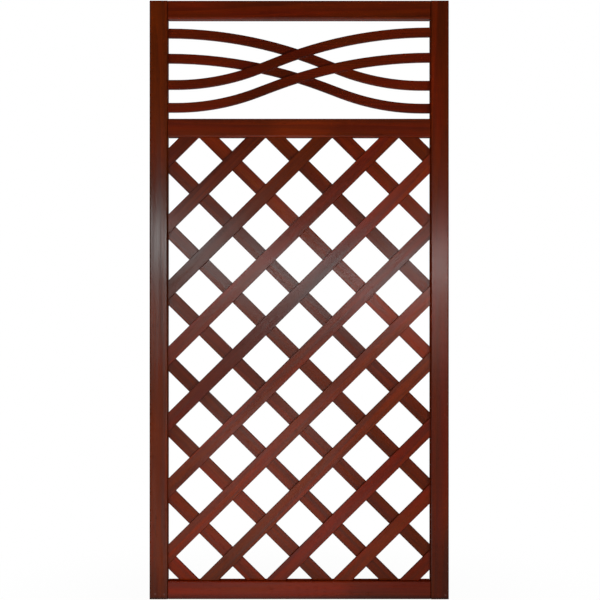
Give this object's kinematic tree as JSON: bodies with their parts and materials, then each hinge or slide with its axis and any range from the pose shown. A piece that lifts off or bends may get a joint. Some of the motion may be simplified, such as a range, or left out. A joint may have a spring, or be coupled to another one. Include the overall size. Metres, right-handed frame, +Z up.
{
  "type": "trellis top fence panel",
  "caption": "Framed garden trellis panel in dark stained wood: a diagonal slat lattice below, a band of crossing S-curved slats at the top.",
  "frame": {"origin": "centre of the panel's foot, on the ground, midway between the stiles and between the front and back faces", "axes": "+Z up the panel, +X along its width to the right as seen from the front, +Y from the front face to the back, so the front faces -Y"},
  "size_m": [0.9, 0.04, 1.8],
  "materials": {
    "stile_wood": "dark mahogany stain under a satin varnish, grain up the stile",
    "rail_wood": "dark mahogany stain under a satin varnish, grain along the rail",
    "curved_slat_wood": "dark mahogany stain under a satin varnish, grain along the slat",
    "lattice_slat_wood": "dark mahogany stain under a satin varnish, varied from slat to slat, grain along the slat",
    "nail_steel": "dull zinc plate"
  },
  "bodies": {
    "root": {"left_stile": "stile_wood", "right_stile": "stile_wood", "top_rail": "rail_wood", "mid_rail": "rail_wood", "bottom_rail": "rail_wood", "curved_slat_upper_front": "curved_slat_wood", "curved_slat_upper_rear": "curved_slat_wood", "curved_slat_lower_front": "curved_slat_wood", "curved_slat_lower_rear": "curved_slat_wood", "front_slat_01": "lattice_slat_wood", "front_slat_02": "lattice_slat_wood", "front_slat_03": "lattice_slat_wood", "front_slat_04": "lattice_slat_wood", "front_slat_05": "lattice_slat_wood", "front_slat_06": "lattice_slat_wood", "front_slat_07": "lattice_slat_wood", "front_slat_08": "lattice_slat_wood", "front_slat_09": "lattice_slat_wood", "front_slat_10": "lattice_slat_wood", "front_slat_11": "lattice_slat_wood", "rear_slat_01": "lattice_slat_wood", "rear_slat_02": "lattice_slat_wood", "rear_slat_03": "lattice_slat_wood", "rear_slat_04": "lattice_slat_wood", "rear_slat_05": "lattice_slat_wood", "rear_slat_06": "lattice_slat_wood", "rear_slat_07": "lattice_slat_wood", "rear_slat_08": "lattice_slat_wood", "rear_slat_09": "lattice_slat_wood", "rear_slat_10": "lattice_slat_wood", "rear_slat_11": "lattice_slat_wood", "curve_nail_01": "nail_steel", "curve_nail_02": "nail_steel", "curve_nail_03": "nail_steel", "curve_nail_04": "nail_steel", "tenon_nail_01": "nail_steel", "tenon_nail_02": "nail_steel", "tenon_nail_03": "nail_steel", "tenon_nail_04": "nail_steel", "tenon_nail_05": "nail_steel", "tenon_nail_06": "nail_steel", "tenon_nail_07": "nail_steel", "tenon_nail_08": "nail_steel", "tenon_nail_09": "nail_steel", "tenon_nail_10": "nail_steel", "tenon_nail_11": "nail_steel", "tenon_nail_12": "nail_steel"}
  },
  "joints": []
}
